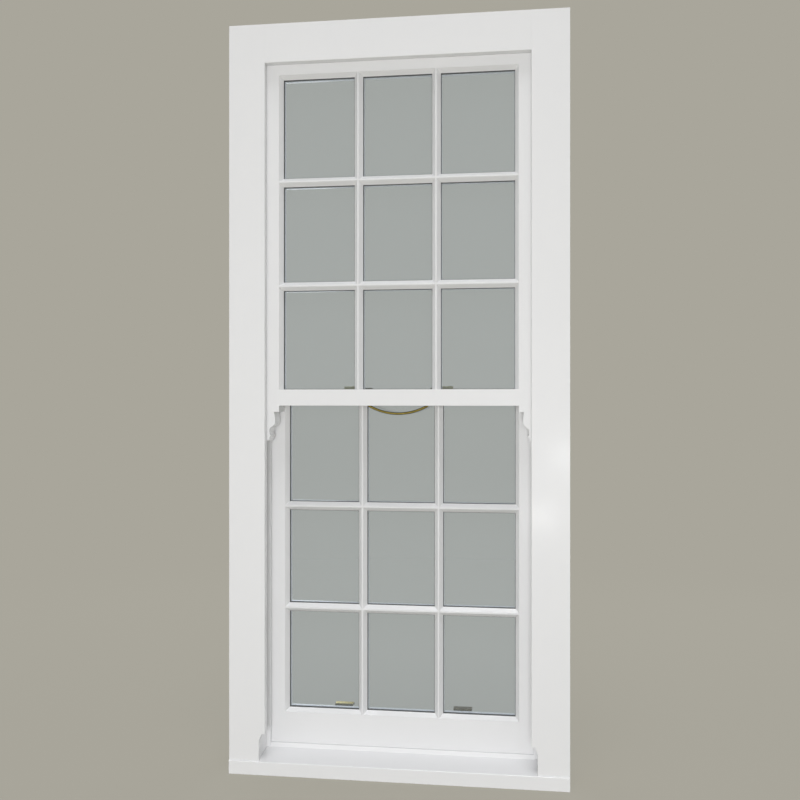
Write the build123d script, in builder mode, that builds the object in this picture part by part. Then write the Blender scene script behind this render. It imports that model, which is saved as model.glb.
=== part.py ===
"""Timber box sash window, three panes by three in each sash, hung on cords, pulleys and weights.

Millimetres. X runs along the window, Y from outside to inside and Z up. The origin is at the middle
of the underside, so the frame stands on its sill.
"""
from build123d import *
from math import pi, radians, sqrt, tan
import os

os.makedirs("parts", exist_ok=True)

# Overall frame
frame_width = 900
frame_height = 2000

# Box frame
lining_width = 98
head_lining_height = 103
lining_thickness = 22
stop_width = 16
pulley_stile_thickness = 22
head_thickness = 24
inner_lining_thickness = 18
back_lining_thickness = 9
tongue_depth = 6
tongue_width = 7
arris = 1.5
housing_floor = 30
head_housing = 8

# Sill
sill_nose = 4
sill_front_height = 35.5
sill_slope = 8
sill_step_height = 9.5
sill_step_run = 6.5
sill_nose_radius = 2.5
sill_throat_radius = 4
notch_height = 72
notch_ease_width = 7
notch_ease_height = 18

# Beads
sash_play = 1.9
bead_thickness = 8
bead_proud = 10
bead_groove = 8
staff_width = 18
staff_depth = 20
staff_radius = 9

# Sashes
sash_thickness = 54
side_play = 1.5
head_play = 1.5
seat_gap = 0.4
stile_face = 47
top_rail_face = 41.5
bottom_rail_face = 84
meeting_top = 1027
meeting_rail_height = 43.3
meeting_face = 32.5
meeting_gap = 1.0
meeting_splay = 7
bead_notch_play = 2

# Glazing
fillet_width = 9.8
fillet_depth = 15
fillet_setback = 0.6
unit_thickness = 14
pane_thickness = 4
unit_play = 1.5
groove_depth = 10
moulding_proud = 2
moulding_square = 7
ovolo_radius = 9
ovolo_quirk = 1.2
bar_web = 3.6
bar_pitch_x = 208
bar_pitch_z = 279.4
spacer_showing = 1

# Joints of the sash timbers
tenon_thickness = 12
tenon_length = 34
tenon_margin = 12

# Horns of the upper sash
horn_length = 93.7
horn_block = 16.7
horn_width = 33
horn_nose = 23

# Cords, pulleys and weights
cord_diameter = 6
cord_inset = 4
wheel_cord_radius = 25
wheel_flange = 2.5
wheel_width = 12
wheel_play = 0.3
axle_diameter = 8
axle_play = 0.05
cheek_thickness = 2.5
cheek_radius = 13
face_plate_width = 28
face_plate_length = 122
face_plate_thickness = 2.5
pulley_drop = 73
wheel_groove_width = 15
cord_groove_width = 8
edge_groove_depth = 9
wheel_groove_length = 105
knot_drop = 330
knot_radius = 6.5
knot_play = 0.4
knot_hole_radius = 9
knot_hole_depth = 20
weight_width = 40
weight_depth = 46
weight_edge = 4
weight_neck = 26
weight_bore = 4
weight_window = 24
weight_wall = 11
weight_floor_height = 90
weight_headroom = 95
slip_thickness = 6
slip_play = 3
pocket_bottom = 170
pocket_length = 400
pocket_width = 46
pocket_play = 0.3

# Brass fittings
screw_head_radius = 3.6
screw_radius = 1.9
screw_length = 18
handle_chord = 159
handle_drop = 21.4
handle_bar_radius = 3.3
handle_plate_length = 36
handle_plate_width = 19
handle_plate_thickness = 2.5
handle_plate_shift = 6
handle_screw_shift = 15
handle_screw_spacing = 10
fastener_offset = 118
fastener_length = 77
fastener_width = 20
fastener_thickness = 2
fastener_screw_margin = 6.5
fastener_pivot_shift = 14.5
fastener_pivot_inset = 28.3
fastener_pin_radius = 4
fastener_cap_radius = 5.6
fastener_arm_reach = 53
fastener_arm_width = 10
fastener_arm_thickness = 2.8
fastener_pad_length = 30
fastener_pad_width = 14
fastener_pad_height = 2.2
fastener_cap_height = 4.2
running_play = 0.3
pin_play = 0.05
keep_length = 28
keep_width = 20
keep_plate_thickness = 1.8
keep_wall = 3
keep_slot_height = 4.5
keep_lip_width = 10
keep_lip_thickness = 1.8
keep_inset = 2
keep_screw_margin = 5
keep_screw_shift = 5
lift_offset = 165
lift_width = 50
lift_reach = 26
lift_plate_height = 42
lift_rise = 12
lift_thickness = 3
lift_lip = 9
lift_corner = 5
lift_screw_margin = 9
lift_screw_height = 11

# Densities in kg per cubic millimetre, and how much each pair of weights differs from its sash
wood = 600e-9
glass = 2500e-9
brass = 8500e-9
plastic = 1100e-9
iron = 7200e-9
upper_bias = 1.04
lower_bias = 0.96

# Positions across the frame, from the outer linings' front inwards
depth = sill_nose + lining_thickness + 3 * sash_play + 2 * sash_thickness + bead_thickness + lift_reach
front = sill_nose - depth / 2
lining_back = front + lining_thickness
upper_front = lining_back + sash_play
upper_back = upper_front + sash_thickness
bead_front = upper_back + sash_play
bead_back = bead_front + bead_thickness
lower_front = bead_back + sash_play
lower_back = lower_front + sash_thickness
box_back = lower_back + sash_play
frame_back = box_back + inner_lining_thickness
upper_middle = (upper_front + upper_back) / 2
lower_middle = (lower_front + lower_back) / 2

# Positions along and up the frame
edge = frame_width / 2
lining_edge = edge - lining_width
channel = lining_edge + stop_width
box_inside = channel + pulley_stile_thickness
back_lining_face = edge - back_lining_thickness
head_lining_bottom = frame_height - head_lining_height
soffit = head_lining_bottom + stop_width
head_top = soffit + head_thickness
sash_edge = channel - side_play
rebate_edge = sash_edge - stile_face
rebate = fillet_width + moulding_proud
sight = rebate_edge - rebate
bar_half = bar_web / 2 + rebate
sash_top = soffit - head_play
meeting_bottom = meeting_top - meeting_rail_height


def sill_height(y):
    """Height of the sill's slope in front of its step, at y."""
    return sill_front_height + (y - front + sill_nose) * tan(radians(sill_slope))


step_front = bead_front
step_back = step_front + sill_step_run
step_top = sill_height(step_front) + sill_step_height
sill_inner = step_top + (box_back - step_back) * tan(radians(sill_slope))
sill_rise = (lower_front - step_back) * tan(radians(sill_slope))
sash_bottom = step_top + sill_rise + seat_gap
notch_top = sill_height(front) + notch_height

# Sight lines of the panes, as seen from inside
columns = [
    (-sight, -bar_pitch_x / 2 - bar_half),
    (-bar_pitch_x / 2 + bar_half, bar_pitch_x / 2 - bar_half),
    (bar_pitch_x / 2 + bar_half, sight),
]
upper_sight_top = sash_top - top_rail_face - rebate
lower_sight_bottom = sash_bottom + bottom_rail_face + rebate
lower_sight_top = meeting_top - meeting_face - rebate
upper_bars = [
    (meeting_top - moulding_proud + upper_sight_top) / 2 + s * bar_pitch_z / 2 + moulding_proud
    for s in (-1, 1)
]
lower_bars = [(lower_sight_bottom + lower_sight_top) / 2 + s * bar_pitch_z / 2 for s in (-1, 1)]


def rows_between(bottom, bars, top):
    """The three (low, high) sight lines of the panes that two bars make."""
    return [
        (bottom, bars[0] - bar_half),
        (bars[0] + bar_half, bars[1] - bar_half),
        (bars[1] + bar_half, top),
    ]


upper_rows = rows_between(meeting_top, upper_bars, upper_sight_top)
lower_rows = rows_between(lower_sight_bottom, lower_bars, lower_sight_top)


def block(x, y, z, mode=Mode.ADD):
    """A squared timber between the limits x, y and z."""
    with Locations(((x[0] + x[1]) / 2, (y[0] + y[1]) / 2, (z[0] + z[1]) / 2)):
        Box(abs(x[1] - x[0]), abs(y[1] - y[0]), abs(z[1] - z[0]), mode=mode)


def elevation(y):
    """Sketch plane seen from outside at depth y, with X across and Z up."""
    return Plane.XZ.offset(-y)


def finish(part, name):
    """Labels a finished piece and writes its STEP file."""
    part.label = name
    export_step(part, f"parts/{name}.step")
    return part


# Sill
def sill_section(lift=0):
    """The sill's solid over the whole width, raised by lift where a sash has to clear it."""
    with BuildPart() as section:
        with BuildSketch(Plane.YZ.offset(-edge)):
            with BuildLine():
                Polyline(
                    (front - sill_nose, 0),
                    (frame_back, 0),
                    (frame_back, sill_inner + lift),
                    (box_back, sill_inner + lift),
                    (step_back, step_top + lift),
                    (step_front, sill_height(step_front) + lift),
                    (front - sill_nose, sill_front_height + lift),
                    close=True,
                )
            make_face()
        extrude(amount=frame_width)
    return section.part


sill_blank = sill_section()
sash_clearance = sill_section(seat_gap)

with BuildPart() as sill:
    add(sill_blank)
    nose = sill.edges().filter_by(Axis.X).group_by(Axis.Y)[0]
    fillet(nose.sort_by(Axis.Z)[-1], sill_nose_radius)
    with BuildSketch(Plane.YZ.offset(-edge)):
        with Locations((front - sill_nose + 3 * sill_throat_radius, 0)):
            Circle(sill_throat_radius)
    extrude(amount=frame_width, mode=Mode.SUBTRACT)
    for side in (-1, 1):
        block((side * channel, side * (edge + 1)), (lining_back, box_back), (housing_floor, sill_inner + 1),
              mode=Mode.SUBTRACT)
finish(sill.part, "sill")


# Uprights of the box frame
pulley_height = soffit - pulley_drop
wheel_x = channel - cord_inset + wheel_cord_radius
weight_x = wheel_x + wheel_cord_radius
wheel_radius = wheel_cord_radius + wheel_flange
mortice_width = wheel_width + 2 * cheek_thickness + 2
mortice_half = wheel_radius + 2
pulley_screw_spacing = (face_plate_length + 2 * mortice_half) / 2
pocket_middle = (bead_back + box_back) / 2 + 2


def screw(plane, positions, length=screw_length):
    """Countersunk screws with their heads flush with a plane, driven against its normal."""
    with BuildPart() as screws:
        for place in positions:
            with BuildSketch(plane) as head:
                with Locations(place):
                    Circle(screw_head_radius)
            extrude(amount=-(screw_head_radius - screw_radius), taper=45)
            with BuildSketch(plane):
                with Locations(place):
                    Circle(screw_radius)
            extrude(amount=-length)
    return screws.part


with BuildPart() as frame_screws:
    for side in (-1, 1):
        plane = Plane(origin=(side * channel, 0, 0), x_dir=(0, -side, 0), z_dir=(-side, 0, 0))
        ends = [pulley_height + s * pulley_screw_spacing / 2 for s in (-1, 1)]
        places = [(-side * y, z) for y in (upper_middle, lower_middle) for z in ends]
        pocket = [(-side * pocket_middle, pocket_bottom + z) for z in (20, pocket_length - 20)]
        add(screw(plane, places + pocket))
finish(frame_screws.part, "frame_screws")

for side, hand in ((-1, "left"), (1, "right")):
    with BuildPart() as pulley_stile:
        block((side * channel, side * box_inside), (lining_back, box_back),
              (housing_floor, soffit + head_housing))
        tongue = (side * (box_inside - tongue_width), side * box_inside)
        block(tongue, (lining_back - tongue_depth, box_back + tongue_depth), (sill_inner + 10, soffit))
        block((side * channel, side * (channel + bead_groove)), (bead_front, bead_back),
              (housing_floor, soffit + head_housing), mode=Mode.SUBTRACT)
        for y in (upper_middle, lower_middle):
            block((side * channel, side * box_inside), (y - mortice_width / 2, y + mortice_width / 2),
                  (pulley_height - mortice_half, pulley_height + mortice_half), mode=Mode.SUBTRACT)
            with BuildSketch(Plane.YZ.offset(side * channel)):
                with Locations((y, pulley_height)):
                    SlotOverall(face_plate_length, face_plate_width, rotation=90)
            extrude(amount=side * face_plate_thickness, mode=Mode.SUBTRACT)
        block((side * channel, side * box_inside),
              (pocket_middle - pocket_width / 2, pocket_middle + pocket_width / 2),
              (pocket_bottom, pocket_bottom + pocket_length), mode=Mode.SUBTRACT)
        add(frame_screws.part, mode=Mode.SUBTRACT)
    finish(pulley_stile.part, f"pulley_stile_{hand}")

    with BuildPart() as outer_lining:
        with BuildSketch(elevation(front)):
            with BuildLine():
                Polyline(
                    (side * edge, 0),
                    (side * edge, frame_height),
                    (side * lining_edge, frame_height),
                    (side * lining_edge, notch_top),
                    (side * (channel - notch_ease_width), notch_top),
                    (side * channel, notch_top - notch_ease_height),
                    (side * channel, 0),
                    close=True,
                )
            make_face()
        extrude(amount=-lining_thickness)
        inner_arris = outer_lining.edges().filter_by(Axis.Z).group_by(Axis.Y)[0]
        inner_arris = inner_arris.sort_by_distance((side * lining_edge, front, frame_height / 2))[0]
        fillet(inner_arris, arris)
        block((side * lining_edge, side * (lining_edge + arris)), (front, front + arris),
              (head_lining_bottom, frame_height))
        add(sill_blank, mode=Mode.SUBTRACT)
        block(tongue, (lining_back - tongue_depth, lining_back), (sill_inner + 10, soffit),
              mode=Mode.SUBTRACT)
    finish(outer_lining.part, f"outer_lining_{hand}")

    with BuildPart() as inner_lining:
        block((side * channel, side * edge), (box_back, frame_back), (sill_inner, frame_height))
        block(tongue, (box_back, box_back + tongue_depth), (sill_inner + 10, soffit), mode=Mode.SUBTRACT)
    finish(inner_lining.part, f"inner_lining_{hand}")

with BuildPart() as back_linings:
    for side in (-1, 1):
        block((side * back_lining_face, side * edge), (lining_back, box_back), (housing_floor, head_top))
finish(back_linings.part, "back_linings")

with BuildPart() as head:
    block((-back_lining_face, back_lining_face), (lining_back, box_back), (soffit, head_top))
    for side in (-1, 1):
        block((side * channel, side * box_inside), (lining_back, box_back), (soffit, soffit + head_housing),
              mode=Mode.SUBTRACT)
    block((-channel, channel), (bead_front, bead_back), (soffit, soffit + bead_groove), mode=Mode.SUBTRACT)
finish(head.part, "head")

with BuildPart() as outer_head_lining:
    with BuildSketch(elevation(front)):
        with Locations((0, (head_lining_bottom + frame_height) / 2)):
            Rectangle(2 * lining_edge, head_lining_height)
    extrude(amount=-lining_thickness)
    fillet(outer_head_lining.edges().filter_by(Axis.X).group_by(Axis.Y)[0].sort_by(Axis.Z)[0], arris)
finish(outer_head_lining.part, "outer_head_lining")

with BuildPart() as inner_head_lining:
    block((-channel, channel), (box_back, frame_back), (soffit, frame_height))
finish(inner_head_lining.part, "inner_head_lining")

with BuildPart() as parting_slips:
    for side in (-1, 1):
        middle = (bead_front + bead_back) / 2
        block((side * (box_inside + slip_play), side * (back_lining_face - slip_play)),
              (middle - slip_thickness / 2, middle + slip_thickness / 2), (housing_floor + slip_play, soffit))
finish(parting_slips.part, "parting_slips")

pocket_half = pocket_width / 2 - pocket_play
with BuildPart() as pocket_pieces:
    for side in (-1, 1):
        block((side * channel, side * box_inside), (pocket_middle - pocket_half, pocket_middle + pocket_half),
              (pocket_bottom + pocket_play, pocket_bottom + pocket_length - pocket_play))
    add(frame_screws.part, mode=Mode.SUBTRACT)
finish(pocket_pieces.part, "pocket_pieces")

# Parting beads, let into grooves in the stiles and the head
with BuildPart() as side_parting_beads:
    for side in (-1, 1):
        block((side * (channel - bead_proud), side * (channel + bead_groove)), (bead_front, bead_back),
              (housing_floor, soffit))
    add(sill.part, mode=Mode.SUBTRACT)
finish(side_parting_beads.part, "side_parting_beads")

with BuildPart() as head_parting_bead:
    block((-channel, channel), (bead_front, bead_back), (soffit, soffit + bead_groove))
    block((-channel + bead_proud, channel - bead_proud), (bead_front, bead_back),
          (soffit - bead_proud, soffit))
finish(head_parting_bead.part, "head_parting_bead")


# Staff beads, mitred round the inside
def staff_bead(length):
    """A staff bead lying along X on the XY plane, rounded on its inner arris and mitred at both ends."""
    with BuildPart() as bead:
        with BuildSketch(Plane.YZ.offset(-length / 2)) as section:
            with Locations((staff_depth / 2, staff_width / 2)):
                Rectangle(staff_depth, staff_width)
            fillet(section.vertices().sort_by(Axis.Y)[-2:].sort_by(Axis.X)[-1], staff_radius)
        extrude(amount=length)
        for s in (-1, 1):
            end = Plane(origin=(s * length / 2, 0, 0), x_dir=(0, 1, 0), z_dir=(s, 0, 1))
            split(bisect_by=end, keep=Keep.BOTTOM)
    return bead.part


staff_height = soffit - sill_inner
staff_middle = (soffit + sill_inner) / 2
with BuildPart() as sill_staff_bead:
    with Locations((0, box_back, sill_inner)):
        add(staff_bead(2 * channel))
finish(sill_staff_bead.part, "sill_staff_bead")

with BuildPart() as head_staff_bead:
    with Locations(Location((0, box_back, soffit), (0, 180, 0))):
        add(staff_bead(2 * channel))
finish(head_staff_bead.part, "head_staff_bead")

with BuildPart() as side_staff_beads:
    for side in (-1, 1):
        with Locations(Location((side * channel, box_back, staff_middle), (0, -90 * side, 0))):
            add(staff_bead(staff_height))
finish(side_staff_beads.part, "side_staff_beads")


# Sashes


def opening_along(plane, low, high, reach, face, grooved=False):
    """Everything that a pane's opening clears, seen along one direction: rebate, sight line and ovolo.

    The sketch runs across the opening in x and into the sash in y. A grooved edge holds the glass in a
    groove and has no moulding.
    """
    unit_front = face + fillet_depth
    unit_back = unit_front + unit_thickness
    square_end = unit_back + moulding_square
    ovolo_end = square_end + ovolo_radius
    beyond = face + sash_thickness + 1
    eye = ovolo_radius * (1 - sqrt(0.5))
    inner_low = low if grooved else low - ovolo_radius - ovolo_quirk
    inner_high = high + ovolo_radius + ovolo_quirk
    with BuildPart() as opening:
        with BuildSketch(plane):
            with BuildLine():
                if grooved:
                    Polyline(
                        (low, face - 1),
                        (low, unit_front),
                        (low - groove_depth, unit_front),
                        (low - groove_depth, unit_back),
                        (low, unit_back),
                        (low, beyond),
                    )
                else:
                    Polyline(
                        (low - rebate, face - 1),
                        (low - rebate, unit_back),
                        (low, unit_back),
                        (low, square_end),
                    )
                    ThreePointArc(
                        (low, square_end), (low - eye, ovolo_end - eye), (low - ovolo_radius, ovolo_end)
                    )
                    Polyline((low - ovolo_radius, ovolo_end), (inner_low, ovolo_end), (inner_low, beyond))
                Polyline(
                    (inner_low, beyond),
                    (inner_high, beyond),
                    (inner_high, ovolo_end),
                    (high + ovolo_radius, ovolo_end),
                )
                ThreePointArc(
                    (high + ovolo_radius, ovolo_end), (high + eye, ovolo_end - eye), (high, square_end)
                )
                Polyline(
                    (high, square_end),
                    (high, unit_back),
                    (high + rebate, unit_back),
                    (high + rebate, face - 1),
                    (low if grooved else low - rebate, face - 1),
                )
            make_face()
        extrude(amount=reach)
    return opening.part


def across_plane(z):
    """Sketch plane looking down at height z, X across and Y into the sash."""
    return Plane(origin=(0, 0, z), x_dir=(1, 0, 0), z_dir=(0, 0, 1))


def upright_plane(x):
    """Sketch plane looking along the window at x, Z across and Y into the sash."""
    return Plane(origin=(x, 0, 0), x_dir=(0, 0, 1), z_dir=(-1, 0, 0))


def pane_opening(column, row, face, grooved=False):
    """The opening of one pane, its mouldings mitred where the two directions cross."""
    height = row[1] - row[0] + 4 * rebate
    width = column[1] - column[0] + 4 * rebate
    across = opening_along(across_plane(row[0] - 2 * rebate), *column, height, face)
    upright = opening_along(upright_plane(column[1] + 2 * rebate), *row, width, face, grooved)
    return across & upright


def splayed(plane, low, high, reach, start, end, spread_low, spread_high):
    """A prism between the depths start and end that is wider at its start by the two spreads."""
    with BuildPart() as prism:
        with BuildSketch(plane):
            with BuildLine():
                Polyline(
                    (low - spread_low, start),
                    (high + spread_high, start),
                    (high, end),
                    (low, end),
                    close=True,
                )
            make_face()
        extrude(amount=reach)
    return prism.part


def bevelled_fillet(column, row, face, grooved=False):
    """The bevelled fillet that holds one pane in its rebate, mitred at its corners."""
    start = face + fillet_setback
    end = face + fillet_depth
    slope = fillet_width * (fillet_depth - fillet_setback) / fillet_depth
    foot = row[0] if grooved else row[0] - rebate
    height = row[1] - row[0] + 4 * rebate
    width = column[1] - column[0] + 4 * rebate
    left, right = column[0] - moulding_proud, column[1] + moulding_proud
    low, high = (foot - 1 if grooved else row[0] - moulding_proud), row[1] + moulding_proud
    low_slope = 0 if grooved else slope
    across = splayed(across_plane(foot - rebate), left, right, height, start, end, slope, slope)
    upright = splayed(upright_plane(right + rebate), low, high, width, start, end, low_slope, slope)
    daylight = across & upright
    with BuildPart() as ring:
        block((column[0] - rebate, column[1] + rebate), (start, end), (foot, row[1] + rebate))
        add(daylight, mode=Mode.SUBTRACT)
    return ring.part


def glazing_unit(column, row, face, grooved=False):
    """One double-glazed unit: its two panes, and the spacer bar that keeps them apart."""
    foot = row[0] - groove_depth if grooved else row[0] - rebate
    x = (column[0] - rebate + unit_play, column[1] + rebate - unit_play)
    z = (foot + unit_play, row[1] + rebate - unit_play)
    unit_front = face + fillet_depth
    unit_back = unit_front + unit_thickness
    showing = moulding_proud - spacer_showing
    sill_line = row[0] + spacer_showing if grooved else row[0] - showing
    with BuildPart() as panes:
        block(x, (unit_front, unit_front + pane_thickness), z)
        block(x, (unit_back - pane_thickness, unit_back), z)
    with BuildPart() as spacer:
        block(x, (unit_front + pane_thickness, unit_back - pane_thickness), z)
        block((column[0] - showing, column[1] + showing), (unit_front, unit_back),
              (sill_line, row[1] + showing), mode=Mode.SUBTRACT)
    return panes.part, spacer.part


def pointed_bar(low, high, middle, face, upright, square_foot=False):
    """A bar's blank: full width between the sight lines, with 45 degree points that reach the webs."""
    web = bar_web / 2
    outline = [
        (low, middle - bar_half), (high, middle - bar_half), (high + rebate, middle - web),
        (high + rebate, middle + web), (high, middle + bar_half), (low, middle + bar_half),
    ]
    if not square_foot:
        outline = outline + [(low - rebate, middle + web), (low - rebate, middle - web)]
    if upright:
        outline = [(across, along) for along, across in outline]
    with BuildPart() as bar:
        with BuildSketch(elevation(face)):
            with BuildLine():
                Polyline(*outline, close=True)
            make_face()
        extrude(amount=-sash_thickness)
    return bar.part


def rail_blank(far, near_edge, near_sight, face):
    """A rail between the stiles: square shoulders at the rebate, mitred from there to the sight line."""
    with BuildPart() as rail:
        with BuildSketch(elevation(face)):
            with BuildLine():
                Polyline(
                    (-rebate_edge, far),
                    (rebate_edge, far),
                    (rebate_edge, near_edge),
                    (sight, near_sight),
                    (-sight, near_sight),
                    (-rebate_edge, near_edge),
                    close=True,
                )
            make_face()
        extrude(amount=-sash_thickness)
    return rail.part


def tenons(low, high, face):
    """The stub tenons at both ends of a rail, between the heights low and high."""
    start = face + fillet_depth + unit_thickness
    with BuildPart() as pair:
        for side in (-1, 1):
            block((side * (rebate_edge - 1), side * (rebate_edge + tenon_length)),
                  (start, start + tenon_thickness), (low, high))
    return pair.part


def edge_groove(side, middle, top):
    """The groove in a stile's outer edge for wheel and cord, ending in the hole that holds the knot."""
    x = (side * (sash_edge - edge_groove_depth), side * (sash_edge + 1))
    with BuildPart() as groove:
        block(x, (middle - wheel_groove_width / 2, middle + wheel_groove_width / 2),
              (top - wheel_groove_length, top + 1))
        block(x, (middle - cord_groove_width / 2, middle + cord_groove_width / 2),
              (top - knot_drop, top - wheel_groove_length + 1))
        with BuildSketch(Plane.YZ.offset(side * (sash_edge + 1))):
            with Locations((middle, top - knot_drop)):
                Circle(knot_hole_radius)
        extrude(amount=-side * (knot_hole_depth + 1))
    return groove.part


def joint_line(height):
    """Depth of the splayed joint between the meeting rails, at a height."""
    lean = (meeting_top - height) / meeting_rail_height * meeting_splay
    return (upper_back + lower_front) / 2 - meeting_splay / 2 + lean


def meeting_nose(back, gap, bottom):
    """The part of a meeting rail that reaches from its sash's face, at back, to the splayed joint."""
    with BuildPart() as nose:
        with BuildSketch(Plane.YZ.offset(-rail_half)):
            with BuildLine():
                Polyline(
                    (back, bottom),
                    (joint_line(bottom) + gap, bottom),
                    (joint_line(meeting_top) + gap, meeting_top),
                    (back, meeting_top),
                    close=True,
                )
            make_face()
        extrude(amount=2 * rail_half)
    return nose.part


rail_half = channel - bead_proud - bead_notch_play

# Timbers of the upper sash
upper_openings = [pane_opening(c, r, upper_front, i == 0) for c in columns for i, r in enumerate(upper_rows)]
upper_across = [pointed_bar(c[0], c[1], z, upper_front, False) for z in upper_bars for c in columns]
upper_upright = [
    pointed_bar(meeting_top, upper_sight_top, s * bar_pitch_x / 2, upper_front, True, square_foot=True)
    for s in (-1, 1)
]
top_rail_blank = rail_blank(sash_top, sash_top - top_rail_face, upper_sight_top, upper_front)
top_tenons = tenons(sash_top - top_rail_face + 3, sash_top - tenon_margin, upper_front)
meeting_tenons = tenons(meeting_bottom + 6, meeting_top - groove_depth, upper_front)

with BuildPart() as upper_top_rail:
    add(top_rail_blank)
    add(top_tenons)
    add(upper_upright + upper_openings, mode=Mode.SUBTRACT)
finish(upper_top_rail.part, "upper_top_rail")

handle_screws = [
    (s * (handle_chord / 2 + handle_screw_shift), upper_middle + t * handle_screw_spacing / 2)
    for s in (-1, 1)
    for t in (-1, 1)
]
keep_middle = upper_back - keep_inset - keep_width / 2
keep_screws = [
    (s * (fastener_offset + fastener_pivot_shift) + t * (keep_length / 2 - keep_screw_margin),
     keep_middle + keep_screw_shift)
    for s in (-1, 1)
    for t in (-1, 1)
]
with BuildPart() as upper_brass_screws:
    add(screw(Plane(origin=(0, 0, meeting_bottom), x_dir=(1, 0, 0), z_dir=(0, 0, -1)),
              [(x, -y) for x, y in handle_screws]))
    add(screw(Plane.XY.offset(meeting_top + keep_plate_thickness), keep_screws))
finish(upper_brass_screws.part, "upper_brass_screws")

with BuildPart() as upper_meeting_rail:
    block((-rebate_edge, rebate_edge), (upper_front, upper_back), (meeting_bottom, meeting_top))
    add(meeting_nose(upper_back, -meeting_gap / 2, meeting_bottom))
    meeting_blank = upper_meeting_rail.part
    add(meeting_tenons)
    add(upper_openings, mode=Mode.SUBTRACT)
    with BuildSketch(Plane.XY.offset(meeting_bottom)):
        for s in (-1, 1):
            with Locations((s * (handle_chord / 2 + handle_plate_shift), upper_middle)):
                RectangleRounded(handle_plate_length, handle_plate_width, 3)
    extrude(amount=handle_plate_thickness, mode=Mode.SUBTRACT)
    add(upper_brass_screws.part, mode=Mode.SUBTRACT)
finish(upper_meeting_rail.part, "upper_meeting_rail")

# The horn's outline as (distance in from the stile's edge, drop below the rail)
horn_turn = horn_length - horn_block
horn_cove = 0.08 * horn_width
horn_swell = (horn_width + horn_cove, horn_block + 0.18 * horn_turn)
horn_bulge = (horn_width + horn_cove, horn_block + 0.39 * horn_turn)
horn_hip = (horn_width - 0.1 * horn_cove, horn_block + 0.46 * horn_turn)
horn_waist = (horn_width - 1.7 * horn_cove, horn_block + 0.513 * horn_turn)
horn_hollow = (horn_nose, horn_block + 0.558 * horn_turn)
horn_throat = (horn_nose - horn_cove, horn_block + 0.636 * horn_turn)
horn_neck = (horn_nose - horn_cove, horn_length - 0.227 * horn_turn)
horn_bead_top = (horn_nose, horn_length - 0.182 * horn_turn)
horn_bead_foot = (horn_nose, horn_length - 0.15 * horn_turn)
horn_foot = (horn_nose - horn_cove, horn_length - 0.11 * horn_turn)
horn_end = (horn_nose - 1.3 * horn_cove, horn_length)


def horn_points(side, *places):
    """Places of the horn's outline as points of the elevation."""
    return [(side * (sash_edge - width), meeting_bottom - drop) for width, drop in places]


upper_stiles = []
for side, hand in ((-1, "left"), (1, "right")):
    with BuildPart() as upper_stile:
        block((side * sight, side * sash_edge), (upper_front, upper_back), (meeting_bottom, sash_top))
        with BuildSketch(elevation(upper_front)):
            with BuildLine():
                Polyline(*horn_points(
                    side, (0, 0), (stile_face, 0), (stile_face, horn_block), (horn_width, horn_block)
                ))
                ThreePointArc(*horn_points(side, (horn_width, horn_block), horn_swell, horn_bulge))
                ThreePointArc(*horn_points(side, horn_bulge, horn_hip, horn_waist))
                ThreePointArc(*horn_points(side, horn_waist, horn_hollow, horn_throat))
                Polyline(*horn_points(
                    side, horn_throat, horn_neck, horn_bead_top, horn_bead_foot, horn_foot, horn_end,
                    (0, horn_length), (0, 0)
                ))
            make_face()
        extrude(amount=-sash_thickness)
        add([top_rail_blank, meeting_blank] + upper_across + upper_openings, mode=Mode.SUBTRACT)
        add([top_tenons, meeting_tenons, edge_groove(side, upper_middle, sash_top)], mode=Mode.SUBTRACT)
    upper_stiles.append(finish(upper_stile.part, f"upper_stile_{hand}"))

with BuildPart() as upper_vertical_bars:
    add(upper_upright)
    add(upper_across + upper_openings, mode=Mode.SUBTRACT)
finish(upper_vertical_bars.part, "upper_vertical_bars")

with BuildPart() as upper_horizontal_bars:
    add(upper_across)
    add(upper_openings, mode=Mode.SUBTRACT)
finish(upper_horizontal_bars.part, "upper_horizontal_bars")

# Timbers of the lower sash
lower_openings = [pane_opening(c, r, lower_front) for c in columns for r in lower_rows]
lower_across = [pointed_bar(c[0], c[1], z, lower_front, False) for z in lower_bars for c in columns]
lower_upright = [
    pointed_bar(lower_sight_bottom, lower_sight_top, s * bar_pitch_x / 2, lower_front, True) for s in (-1, 1)
]
lower_meeting_blank = rail_blank(meeting_top, meeting_top - meeting_face, lower_sight_top, lower_front)
bottom_rail_edge = sash_bottom + bottom_rail_face
bottom_rail_blank = rail_blank(sash_bottom, bottom_rail_edge, lower_sight_bottom, lower_front)
lower_meeting_tenons = tenons(meeting_top - meeting_face + 3, meeting_top - 8, lower_front)
bottom_tenons = tenons(sash_bottom + tenon_margin, bottom_rail_edge - 5, lower_front)

fastener_y = lower_front + fastener_pivot_inset
fastener_screws = [
    (s * fastener_offset + t * (fastener_length / 2 - fastener_screw_margin), fastener_y)
    for s in (-1, 1)
    for t in (-1, 1)
]
lift_plate_bottom = bottom_rail_edge - lift_plate_height
lift_screws = [
    (s * lift_offset + t * (lift_width / 2 - lift_screw_margin), lift_plate_bottom + lift_screw_height)
    for s in (-1, 1)
    for t in (-1, 1)
]
with BuildPart() as lower_brass_screws:
    add(screw(Plane.XY.offset(meeting_top + fastener_thickness), fastener_screws))
    add(screw(Plane(origin=(0, lower_back + lift_thickness, 0), x_dir=(-1, 0, 0), z_dir=(0, 1, 0)),
              [(-x, z) for x, z in lift_screws]))
finish(lower_brass_screws.part, "lower_brass_screws")

with BuildPart() as lower_meeting_rail:
    add(lower_meeting_blank)
    add(meeting_nose(lower_front, meeting_gap / 2, meeting_top - meeting_face))
    add(lower_meeting_tenons)
    add(lower_upright + lower_openings, mode=Mode.SUBTRACT)
    add(lower_brass_screws.part, mode=Mode.SUBTRACT)
finish(lower_meeting_rail.part, "lower_meeting_rail")

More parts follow.
